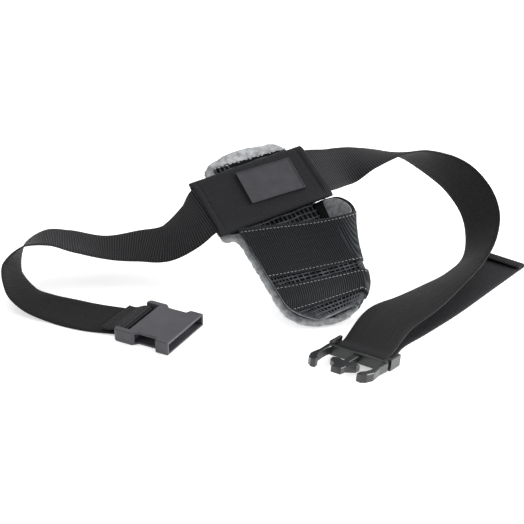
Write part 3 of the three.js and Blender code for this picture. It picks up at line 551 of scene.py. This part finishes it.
# Strap
def buildStrap():
    half, thick, edge, side = strap["width"] / 2, strap["thick"] / 2, strap["edge"], strap["side"]
    columns = 9
    top = [(-half + edge + (2 * half - 2 * edge) * k / columns, thick, 1) for k in range(columns + 1)]
    profile = [(-half, -side, 0), (-half, side, 0), *top, (half, side, 0), (half, -side, 0)]
    profile += [(w, -n, -0.35) for w, n, _ in reversed(top)]  # lower ribs on the other face
    stations = strapStations(sections, strap["step"])
    inSleeve = min(stations, key=lambda s: (s[0] - sleeveFrame.translation).length)[4]
    rings, uvs = [], []
    for place, _, width, face, run in stations:
        reach = strap["spreadLeft"] if run < inSleeve else strap["spreadRight"]
        away = min(1.0, max(0.0, (abs(run - inSleeve) - sleeve["length"] / 2) / reach))
        width = width * (1 + strap["spread"] * (1 - away * away * (3 - 2 * away)))
        wave = sin(2 * pi * run / strap["ribPitch"])
        rise = strap["ribHeight"] * (abs(wave) ** 0.7 * (1 if wave > 0 else -1)) * 0.5
        ring = [place + width * w + face * (n + rise * rib) for w, n, rib in profile]
        rings.append(ring[::-1])
        uvs += [(run, w + (otherFace if n < 0 else 0)) for w, n, _ in reversed(profile)]
    piece = loft("webbing_strap_ribbed", rings, strapCloth, uvs)
    fit(piece)
    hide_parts("strap_left", "strap_right", "strap_tail")
    print("strap length", round(stations[-1][4]), "mm")
    return stations


stations = buildStrap()


# Seams across the sewn fold behind the socket half's bar and across the hem
def strapSeam(name, run):
    place, _, width, face, _ = min(stations, key=lambda s: abs(s[4] - run))
    points = [place + width * w - face * 1.15 for w in (-21.5, 21.5)]
    stitchRow(name, points, darkThread, 3.2, 2.4)


strapSeam("fold_stitch_end", 3.5)
strapSeam("fold_stitch_bar", strap["foldBack"] - 4)
strapSeam("hem_stitch", stations[-1][4] - 3.0)
print("strap done")


# Pad. The rounded tops of the felt and of the facing, above the sleeve
feltCrown = {"left": 42, "right": 56, "riseLeft": 62, "riseRight": 55, "corner": 18}
facingCrown = {"left": 32, "right": 53, "riseLeft": 48, "riseRight": 43, "corner": 3}


def tongueHalfAt(depth, inset=0.0):
    below = max(0.0, depth - pad["straight"]) / (pad["end"] - pad["straight"] - inset)
    return (pad["half"] - inset) * sqrt(max(0.0, 1 - below * below))


# Reach to the left and right at a height y up the pad
def padSpan(y, inset=0.0, crown=feltCrown):
    if y > pad["wingRise"] - inset:
        spans = []
        for side, reach, rise, corner in ((-1, crown["left"], crown["riseLeft"], 1.3 * crown["corner"]),
                                          (1, crown["right"], crown["riseRight"], crown["corner"])):
            into = min(1.0, max(0.0, (y - rise) / crown["corner"] + 1))
            spans.append(side * (reach - corner * (1 - sqrt(1 - into * into))))
        if y > crown["riseRight"]:
            share = (y - crown["riseRight"]) / (crown["riseLeft"] - crown["riseRight"])
            spans[1] += min(1.0, share) * (-crown["left"] + 1.3 * crown["corner"] - spans[1])
        return spans
    span = []
    for side, drop in ((-1, pad["wingDropLeft"] - inset), (1, pad["wingDropRight"] - inset)):
        if y >= -drop:
            corner = min(1.0, min(pad["wingRise"] - inset - y, y + drop) / 10)
            span.append(side * (pad["wingHalf"] - inset - 6 * (1 - corner) ** 2))
        else:
            span.append(side * tongueHalfAt(-y, inset))
    return span


# A merged copy of a CAD node, with its flat faces joined
def copyNode(node, name):
    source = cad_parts[node]
    mesh = source.data.copy()
    mesh.transform(source.matrix_world)
    work = bmesh.new()
    work.from_mesh(mesh)
    bmesh.ops.remove_doubles(work, verts=work.verts, dist=0.02 * mm)
    bmesh.ops.dissolve_limit(work, angle_limit=radians(1.5), verts=work.verts, edges=work.edges)
    work.to_mesh(mesh)
    work.free()
    mesh.materials.clear()
    piece = bpy.data.objects.new(name, mesh)
    bpy.context.scene.collection.objects.link(piece)
    return piece


# Fibres that stand off the bare felt
def fuzzTree():
    tree, sockets, source = newTree("felt fibres", ("Density", "Length", "Thickness"), "Felt")
    bare = addNode(tree, "GeometryNodeInputNamedAttribute", {"Name": "bare"},
                   data_type="BOOLEAN").outputs[0]
    spots = addNode(tree, "GeometryNodeDistributePointsOnFaces",
                    {"Mesh": source["Geometry"], "Selection": bare,
                     "Density": source["Density"], "Seed": 7}).outputs
    fibre = addNode(tree, "GeometryNodeMeshCone",
                    {"Vertices": 3, "Radius Top": 0.15, "Radius Bottom": 1.0, "Depth": 1.0}).outputs[0]
    tilt = addNode(tree, "FunctionNodeRandomValue",
                   {0: (-1.1, -1.1, -3.1), 1: (1.1, 1.1, 3.1), "Seed": 3},
                   data_type="FLOAT_VECTOR").outputs[0]
    tilt = addNode(tree, "FunctionNodeEulerToRotation", {0: tilt}).outputs[0]
    lean = addNode(tree, "FunctionNodeRotateRotation", {"Rotation": spots["Rotation"], "Rotate By": tilt},
                   rotation_space="LOCAL").outputs[0]
    size = addNode(tree, "ShaderNodeCombineXYZ",
                   {0: source["Thickness"], 1: source["Thickness"], 2: source["Length"]}).outputs[0]
    fibres = addNode(tree, "GeometryNodeInstanceOnPoints",
                     {"Points": spots["Points"], "Instance": fibre,
                      "Rotation": lean, "Scale": size}).outputs[0]
    endTree(tree, fibres, source["Felt"], smooth=False)
    return tree, sockets


felt = {
    "voxel": 4, "pressure": 3, "cap": 1.2, "frames": 16, "lumpSize": 9, "lump": 0.15, "bareBelow": 1.2,
    "crownFrom": 36, "crownOver": 18,
    "crownLift": [-3, -2, 0, 3, 4.5, 5.3, 4.5, 3.5, 5],  # the wool over its backing, from left to right
    "fibreDensity": 350000, "fibreLength": 2.0, "fibreThick": 0.07,  # the density is per square metre
}


def fuzz(name, host, bareFaces):
    work = host.copy()
    work.data = host.data.copy()
    work.name = name
    bpy.context.scene.collection.objects.link(work)
    work.data.attributes.new("bare", "BOOLEAN", "FACE").data.foreach_set("value", bareFaces)
    runTree(work, *fuzzTree(), {"Density": felt["fibreDensity"], "Length": felt["fibreLength"] * mm,
                                "Thickness": felt["fibreThick"] * mm, "Felt": feltCloth})
    return fit(work)


def puffUp(piece):
    cloth = piece.modifiers.new("cloth", "CLOTH")
    cloth.settings.use_pressure = True
    cloth.settings.uniform_pressure_force = felt["pressure"]
    cloth.settings.effector_weights.gravity = 0
    for f in range(1, felt["frames"] + 1):
        bpy.context.scene.frame_set(f)
    bake(piece)
    bpy.context.scene.frame_set(1)


def buildFelt():
    piece = copyNode("felt_backing", "felt_tongue")
    remesh = piece.modifiers.new("remesh", "REMESH")
    remesh.mode, remesh.voxel_size = "VOXEL", felt["voxel"] * mm
    bake(piece)
    rest = [v.co.copy() for v in piece.data.vertices]
    puffUp(piece)
    toPad = (Matrix.Translation(shift) @ padFrame).inverted()
    fromPad = toPad.inverted()
    crownLeft, crownRight = feltCrown["left"], feltCrown["right"]
    for v, start in zip(piece.data.vertices, rest):
        move = v.co - start
        if move.length > felt["cap"] * mm:
            v.co = start + move.normalized() * felt["cap"] * mm
        v.co += noise.noise_vector(v.co / (felt["lumpSize"] * mm)) * felt["lump"] * mm
        at = toPad @ (v.co / mm)
        left, right = padSpan(min(at.y, facingCrown["riseRight"] - 1), pad["border"] - 1, facingCrown)
        if left < at.x < right and at.y < facingCrown["riseLeft"] + 2:
            at.z = min(at.z, pad["felt"] - 0.1)  # pressed down under the facing
        grown = min(1.0, max(0.0, (at.y - felt["crownFrom"]) / felt["crownOver"]))
        across = (min(crownRight, max(-crownLeft, at.x)) + crownLeft) / (crownLeft + crownRight)
        at.y += alongTable(felt["crownLift"], across) * grown
        v.co = fromPad @ at * mm
        v.co.z = max(v.co.z, 0.15 * mm)
    smooth = piece.modifiers.new("smooth", "SUBSURF")
    smooth.levels = smooth.render_levels = 1
    bake(piece)
    piece.data.polygons.foreach_set("use_smooth", [True] * len(piece.data.polygons))
    piece.data.materials.clear()
    piece.data.materials.append(feltCloth)
    bare = []
    for face in piece.data.polygons:
        at = toPad @ (face.center / mm)
        left, right = padSpan(at.y, pad["border"])
        bare.append(at.z < pad["felt"] - felt["bareBelow"] or at.x < left or at.x > right)
    fit(piece, "felt_backing")
    fuzz("felt_fibres", piece, bare)


buildFelt()
print("felt done")


ladder = {"across": 5.0, "along": 7.4, "rail": 0.95, "rung": 0.7, "cells": 21, "cellsLeft": 9}


def buildFacing():
    border = pad["border"]
    low, high = -pad["end"] + border, facingCrown["riseLeft"]
    z0 = pad["felt"] + pad["seat"]
    rows, under = 110, []
    for k in range(rows + 1):
        y = low + 0.2 + (high - low - 0.4) * k / rows
        left, right = padSpan(y, border, facingCrown)
        left, right = left + 0.8, max(right - 0.8, left + 1.2)
        loop = [(left, z0), (right, z0), (right, z0 + 0.7)]
        loop += [(right + (left - right) * c / 6, z0 + 0.9) for c in range(1, 6)] + [(left, z0 + 0.7)]
        under.append([padFrame @ Vector((x, y, z)) for x, z in reversed(loop)])
    base = loft("facing_backing_cloth", under, backingAndShadeCloth)
    fit(base, "mesh_facing")

    def pointAt(i, j):
        x = (i / netStep - ladder["cellsLeft"]) * ladder["across"]
        y = high - 1.2 - j * ladder["along"] + 0.5 * sin(i * 0.35 + j)
        left, right = padSpan(y, border, facingCrown)
        if y < low or y > high or not left <= x <= right:
            return None
        return padFrame @ Vector((x, y, z0 + 1.3 + 0.12 * sin(i * pi / 1.5)))

    net = ladderNet("ladder_net_facing", netStep * ladder["cells"], int((high - low) / ladder["along"]),
                    pointAt, ladder["rail"], ladder["rung"])
    fit(net)
    # The pale dashes follow the slope of the facing's upper edge
    crownLeft, crownRight = facingCrown["left"], facingCrown["right"]
    slope = (facingCrown["riseLeft"] - facingCrown["riseRight"]) / (crownLeft + crownRight)
    upperEdge = []
    for x in range(2 - crownLeft, crownRight - 1):
        y = high - 2.0 - (x + crownLeft) * slope + 0.7 * sin(x * 0.5)
        upperEdge.append(padFrame @ Vector((x, y, facingTop + 0.7)))
    stitchRow("facing_edge_stitch", upperEdge, whiteThread, 4.6, 3.0, 0.5)


buildFacing()


pocket = {
    "depth": 32, "top": 37, "bottom": 160.5, "dip": 40, "taper": 0.86, "lapEnd": 0.6, "tuck": 0.8,
    "seam": 0.795, "seamDip": 0.92, "seamOut": 0.88,
    "lining": 2.6, "net": 1.5, "band": 1.5, "gap": 0.5, "bandRib": 0.16, "bandRibPitch": 2.1,
    "netColumns": 102, "netRows": 26, "rail": 0.8, "rung": 0.6,
    "liningFlat": (125, 160), "clothFlat": (122, 160), "sideFlat": (14, 70),
    "upperTop": (-0.022, -0.022), "upperBottom": (0.51, 0.58), "upperInset": 0.046, "upperFlat": (74, 155),
    "lowerTop": (0.59, 0.70), "lowerBottom": (0.86, 0.91), "lowerInset": 0.028, "lowerFlat": (38, 135),
}
# across, out and dip round the pocket, close to the CAD's
pocketArc = [
    (-0.87, 0.0, 0.0), (-0.66, 0.11, 0.12), (-0.40, 0.25, 0.27), (0.0, 0.45, 0.50), (0.40, 0.65, 0.72),
    (0.72, 0.83, 0.88), (1.0, 0.96, 0.98), (1.17, 0.94, 0.92), (1.235, 0.78, 0.59), (1.20, 0.46, 0.20),
    (1.06, 0.03, -0.06),
]
arcAcross, arcOut, arcDip = ([row[k] for row in pocketArc] for k in range(3))


def pocketPoint(u, v):
    across, front, dip = (alongTable(values, u) for values in (arcAcross, arcOut, arcDip))
    lap = 0.12 + 0.88 * min(1.0, max(0.0, 1 - v / pocket["lapEnd"])) ** 1.6
    if across > pocket["seam"]:
        dip = pocket["seamDip"] + (dip - pocket["seamDip"]) * lap
    if front > pocket["seamOut"]:
        front = pocket["seamOut"] + (front - pocket["seamOut"]) * lap
    depth = pocket["top"] + dip * pocket["dip"]
    depth += (pocket["bottom"] - depth) * v
    half = tongueHalfAt(depth) - pad["border"] * max(0.0, (v - pocket["tuck"]) / (1 - pocket["tuck"]))
    out = front * pocket["depth"] * (1 - pocket["taper"] * max(0.0, v)**0.8)
    x = (min(pocket["seam"], across) + max(0.0, across - pocket["seam"]) * lap) * half
    return Vector((x, -depth, facingTop + pad["seat"] + out))


def pocketNormal(u, v, step=0.004):
    alongU = pocketPoint(min(1, u + step), v) - pocketPoint(max(0, u - step), v)
    alongV = pocketPoint(u, min(1, max(0, v) + step)) - pocketPoint(u, max(0, v - step))
    if u > 0.9:
        alongU.z -= 0.1
    return alongV.cross(alongU).normalized()


def onPocket(u, v, off):
    return padFrame @ (pocketPoint(u, v) + pocketNormal(u, v) * off)


def mix(pair, u):
    return pair[0] + (pair[1] - pair[0]) * u


# Closed wall between two pairs of shares down the pocket, ribbed on its outside
def pocketWall(name, material, top, bottom, inner, outer, columns, rows, ribs=0.0):
    thick = outer - inner
    rings, uvs = [], []
    for j in range(rows + 1):
        share = j / rows
        places = []
        for i in range(columns + 1):
            u = i / columns
            places.append((u, mix(top, u) + (mix(bottom, u) - mix(top, u)) * share))
        line = [pocketPoint(u, v) for u, v in places]
        runs = [0.0]
        for a, b in zip(line, line[1:]):
            runs.append(runs[-1] + (b - a).length)
        runs = [run - runs[columns // 2] for run in runs]  # the ribs stay upright on the pocket's front
        edge = 1 - min(1.0, min(share, 1 - share) * rows)  # 1 on the first and last rows
        outerRing, innerRing = [], []
        for (u, v), run in zip(places, runs):
            swell = ribs * sin(2 * pi * run / pocket["bandRibPitch"]) * (1 - edge) - 0.35 * edge * thick
            outerRing.append(onPocket(u, v, outer + swell))
            innerRing.append(onPocket(u, v, inner + 0.3 * edge * thick))
        rings.append(outerRing + innerRing[::-1])
        weave = [(run, v * 120) for (_, v), run in zip(places, runs)]
        uvs += weave + weave[::-1]
    return loft(name, rings, material, uvs)


# Painted shade: a dark strip joins the wall's right edge to the facing, standing for the pocket's guessed
# side wall in shadow
def buildShadeStrip():
    strip = []
    for k in range(31):
        edge = pocketPoint(1, 0.55 * k / 30)
        near = padSpan(edge.y, pad["border"])[1] - 1
        far = edge.x + 4
        corners = ((near, facingTop + 0.5), (far, edge.z + 1.0), (far, edge.z - 0.4), (near, facingTop - 0.9))
        strip.append([padFrame @ Vector((x, edge.y, z)) for x, z in corners])
    side = loft("pocket_shade_strip", strip, backingAndShadeCloth)
    fit(side)


# A ribbed band across the pocket, with pale stitches along its upper and lower edges
def buildBand(name, node, part, bandInner):
    top, bottom = pocket[part + "Top"], pocket[part + "Bottom"]
    bandOuter = bandInner + pocket["band"]
    band = pocketWall(name, bandCloth, top, bottom, bandInner, bandOuter, 420, 14, pocket["bandRib"])
    fit(band, node)
    for k, (edge, inset) in enumerate(((top, pocket[part + "Inset"]), (bottom, -0.022))):
        shares = [0.01 + 0.97 * n / 160 for n in range(161)]
        points = [onPocket(u, mix(edge, u) + inset, bandOuter + 0.15) for u in shares]
        stitchRow(f"{name}_stitch_{k + 1}", points, whiteThread)


def buildPocket():
    # The lining's darker grey is painted shade on the felt
    lining = pocketWall("pocket_lining_felt", shadedLiningFelt, (0, 0), (1, 1), 0, pocket["lining"], 90, 40)
    fit(lining, "pocket_lining")
    inner = pocket["lining"] + pocket["gap"]
    under = pocketWall("pocket_backing_cloth", backingAndShadeCloth, (0.004, 0.004), (0.985, 0.985),
                       inner, inner + 0.5, 90, 40)
    fit(under, "pocket_net")

    def pointAt(i, j):
        u, v = i / pocket["netColumns"], 0.012 + j / pocket["netRows"] * 0.972
        return onPocket(u, v, inner + 1.0 + 0.1 * sin(i * pi / 1.5))

    net = ladderNet("ladder_net_pocket", pocket["netColumns"], pocket["netRows"], pointAt,
                    pocket["rail"], pocket["rung"])
    fit(net)
    buildShadeStrip()
    bandInner = inner + pocket["net"] + pocket["gap"]
    buildBand("pocket_band_wide", "pocket_band_upper", "upper", bandInner)
    buildBand("pocket_band_narrow", "pocket_band_lower", "lower", bandInner)


buildPocket()
print("pocket done")


# A flat tube with a rolled hem and a sunk seam near each end
def buildSleeve():
    columns, across = 110, 25
    halfLong = sleeve["length"] / 2
    slotHalf = strap["width"] / 2 * (1 + strap["spread"]) + sleeve["slotRoom"]
    rings, uvs = [], []
    for i in range(columns + 1):
        share = i / columns
        x = (share - 0.5) * sleeve["length"]
        half = (sleeve["highLeft"] + (sleeve["highRight"] - sleeve["highLeft"]) * share) / 2
        end = max(0.0, 1 - min(share, 1 - share) * sleeve["length"] / 1.2)
        fromLeft, fromRight = x + halfLong, halfLong - x
        seam = 0.5 * exp(-((fromLeft - sleeve["seamLeft"]) / 1.0) ** 2)
        seam += 0.5 * exp(-((fromRight - sleeve["seamRight"]) / 1.2) ** 2)
        rolled = 0.9 * exp(-((fromRight - sleeve["rollRight"]) / 3.2) ** 4)
        rolled += 0.5 * exp(-((fromLeft - sleeve["rollLeft"]) / 2.6) ** 4)
        ring = []
        for side in (1, -1):
            for k in range(across):
                y = side * (half - 2 * half * k / (across - 1))
                edge = min(1.0, (half - abs(y)) / max(1.0, half - slotHalf + 6))
                crown = sleeve["hem"] + (sleeve["crown"] - sleeve["hem"]) * sin(edge * pi / 2) ** 0.9
                wrinkle = 0.25 * noise.noise(Vector((x / 17, y / 9, side * 3)))
                ring.append((x, y, side * (crown + (wrinkle - seam + rolled) * edge - 0.5 * end)))
        ring.reverse()
        rings.append([sleeveFrame @ Vector(p) for p in ring])
        uvs += [p[:2] for p in ring]
    piece = loft("belt_sleeve_cloth", rings, sleeveCloth, uvs)
    # The slot is cut by an eight-sided bar a little larger than the strap
    slotHigh = sleeve["crown"] - sleeve["wall"]
    quarter = [(slotHalf, 0.6), (slotHalf - 1.5, slotHigh)]
    outline = [(-y, -z) for y, z in quarter] + [(y, -z) for y, z in quarter[::-1]]
    outline += quarter + [(-y, z) for y, z in quarter[::-1]]
    slot = [[sleeveFrame @ Vector((x, y, z)) for y, z in outline]
            for x in (-sleeve["length"], sleeve["length"])]
    cutter = loft("sleeve_slot", slot, None, smooth=False)
    cut = piece.modifiers.new("slot", "BOOLEAN")
    cut.object, cut.operation, cut.solver = cutter, "DIFFERENCE", "EXACT"
    bake(piece)
    bpy.data.objects.remove(cutter)
    fit(piece, "belt_sleeve")
    for k, x in enumerate((4 - halfLong, halfLong - 4)):
        points = [sleeveFrame @ Vector((x, y, sleeve["crown"] - 0.1)) for y in (-26, 26)]
        stitchRow(f"sleeve_stitch_{k + 1}", points, darkThread, 3.4, 2.5, 0.35)


buildSleeve()


# A rigid CAD node with softened edges
def softened(node, name, material):
    piece = copyNode(node, name)
    piece.data.materials.append(material)
    bevel = piece.modifiers.new("edges", "BEVEL")
    bevel.width, bevel.segments = 0.35 * mm, 2
    bevel.limit_method, bevel.angle_limit = "ANGLE", radians(30)
    bevel.harden_normals = True
    bake(piece)
    return fit(piece, node)


# The label's rim is painted darker than its blank face: painted shade along its raised edge
def buildLabel():
    patch = softened("label_patch", "label_blank", labelRubber)
    patch.data.materials.append(shadedRimRubber)
    labelFrame = padFrame @ Matrix.Translation((label["x"], label["y"], 0)) @ turned(label["turn"], "Z")
    toLabel = (Matrix.Translation(shift) @ labelFrame).inverted()
    rimX, rimY = label["long"] / 2 - label["rim"], label["high"] / 2 - label["rim"]
    for face in patch.data.polygons:
        at = toLabel @ (face.center / mm)
        face.material_index = int(abs(at.x) > rimX or abs(at.y) > rimY)


buildLabel()
softened("buckle_socket", "buckle_socket_moulded", socketPlastic)
softened("buckle_plug", "buckle_plug_moulded", plugPlastic)
print("sleeve, label and buckles done")

# Camera, light and floor
view = {"elevation": 27, "distance": 1250, "aim": (0, 0, 40), "pixels": 1250, "image": 524, "sensor": 36}
camera = bpy.data.cameras.new("camera")
camera.lens, camera.sensor_width = view["sensor"] * view["pixels"] / view["image"], view["sensor"]
camera.clip_end = 10
cameraObject = bpy.data.objects.new("camera", camera)
aim = (Vector(view["aim"]) + shift) * mm
tilt = radians(view["elevation"])
cameraObject.location = aim + Vector((0, -cos(tilt), sin(tilt))) * view["distance"] * mm
cameraObject.rotation_euler = (pi / 2 - tilt, 0, 0)
bpy.context.scene.collection.objects.link(cameraObject)
bpy.context.scene.camera = cameraObject

# A white sheet that shines a little, so that shadows stay faint
floorMaterial, _, floorShader = newMaterial("pale table")
floorShader.inputs["Base Color"].default_value = linear("#f4f4f4")
floorShader.inputs["Roughness"].default_value = 0.9
floorShader.inputs["Emission Color"].default_value = (1, 1, 1, 1)
floorShader.inputs["Emission Strength"].default_value = 0.5
floorMesh = bpy.data.meshes.new("table")
floorMesh.from_pydata([(-6, -6, 0), (6, -6, 0), (6, 6, 0), (-6, 6, 0)], [], [(0, 1, 2, 3)])
floorMesh.materials.append(floorMaterial)
table = bpy.data.objects.new("table", floorMesh)
bpy.context.scene.collection.objects.link(table)

# Place in metres, size in metres and power in watts of each lamp
lamps = {
    "top light": ((0.2, 0.6, 1.9), 2.6, 20),
    "right light": ((1.6, 0.0, 0.55), 0.9, 44),
    "left light": ((-1.4, -0.9, 1.1), 1.2, 4),
}
for name, (place, size, power) in lamps.items():
    light = bpy.data.lights.new(name, "AREA")
    light.energy, light.size = power, size
    lamp = bpy.data.objects.new(name, light)
    lamp.location = place
    lamp.rotation_euler = (-Vector(place)).to_track_quat("-Z", "Y").to_euler()
    bpy.context.scene.collection.objects.link(lamp)
world = bpy.data.worlds.new("studio")
world.use_nodes = True
background = next(n for n in world.node_tree.nodes if n.type == "BACKGROUND")
background.inputs[0].default_value = (1, 1, 1, 1)
background.inputs[1].default_value = 0.6
bpy.context.scene.world = world
bpy.context.scene.view_settings.view_transform = "Standard"
